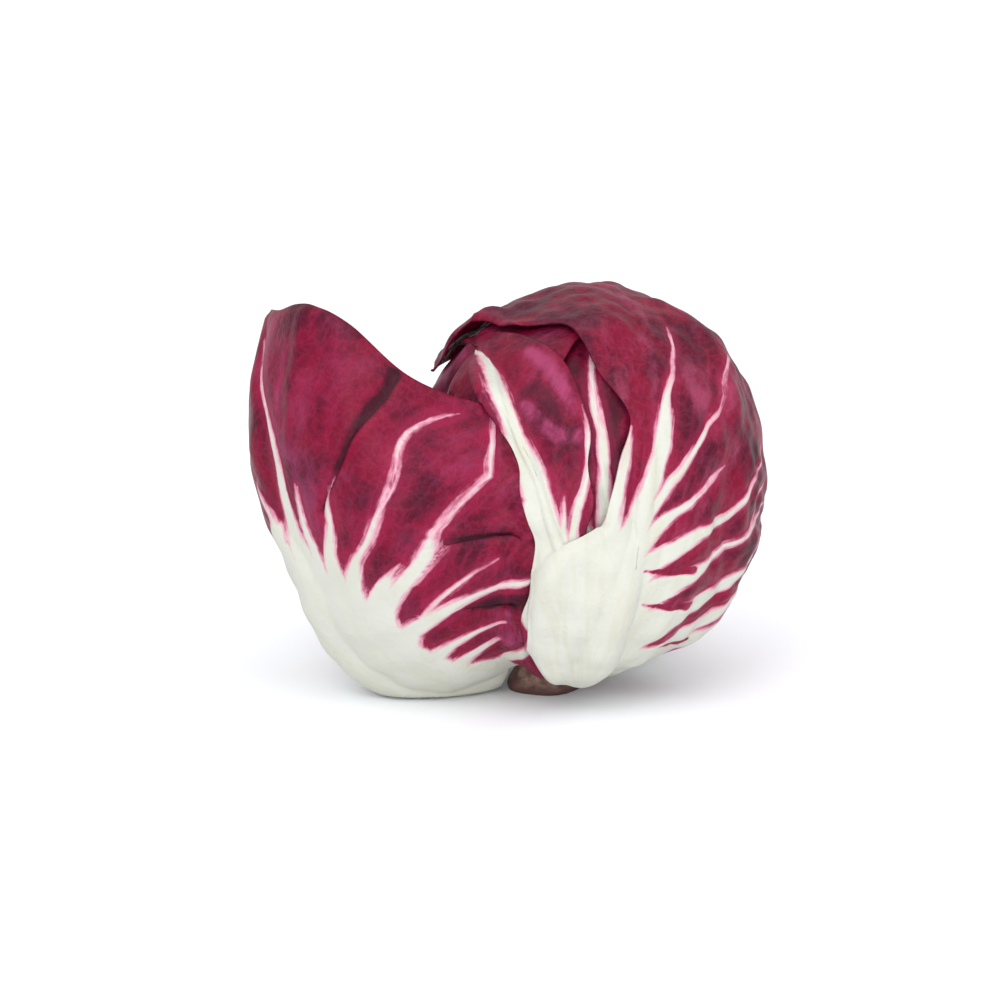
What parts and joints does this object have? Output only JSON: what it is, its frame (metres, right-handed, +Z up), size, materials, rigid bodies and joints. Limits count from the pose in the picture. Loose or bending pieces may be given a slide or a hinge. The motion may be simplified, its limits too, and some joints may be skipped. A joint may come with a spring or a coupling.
{
  "type": "radicchio head",
  "caption": "Round head of red radicchio on its cut stem, with wrapped leaves and one outer leaf sprung open at its side.",
  "frame": {"origin": "on the surface the head stands on, below the middle of the whole outline", "axes": "+Z up, -Y towards the front with the white fan of ribs, -X towards the sprung leaf"},
  "size_m": [0.1534, 0.111, 0.1214],
  "materials": {
    "stem": "matte",
    "heart": "satin",
    "inner_leaf_front": "satin",
    "back_leaf_left": "satin",
    "back_leaf_right": "satin",
    "left_leaf": "satin",
    "loose_leaf": "satin",
    "side_leaf": "satin",
    "front_leaf": "satin"
  },
  "bodies": {
    "root": {"stem": "stem", "heart": "heart", "inner_leaf_front": "inner_leaf_front", "back_leaf_left": "back_leaf_left", "back_leaf_right": "back_leaf_right", "left_leaf": "left_leaf", "loose_leaf": "loose_leaf", "side_leaf": "side_leaf", "front_leaf": "front_leaf"}
  },
  "joints": []
}
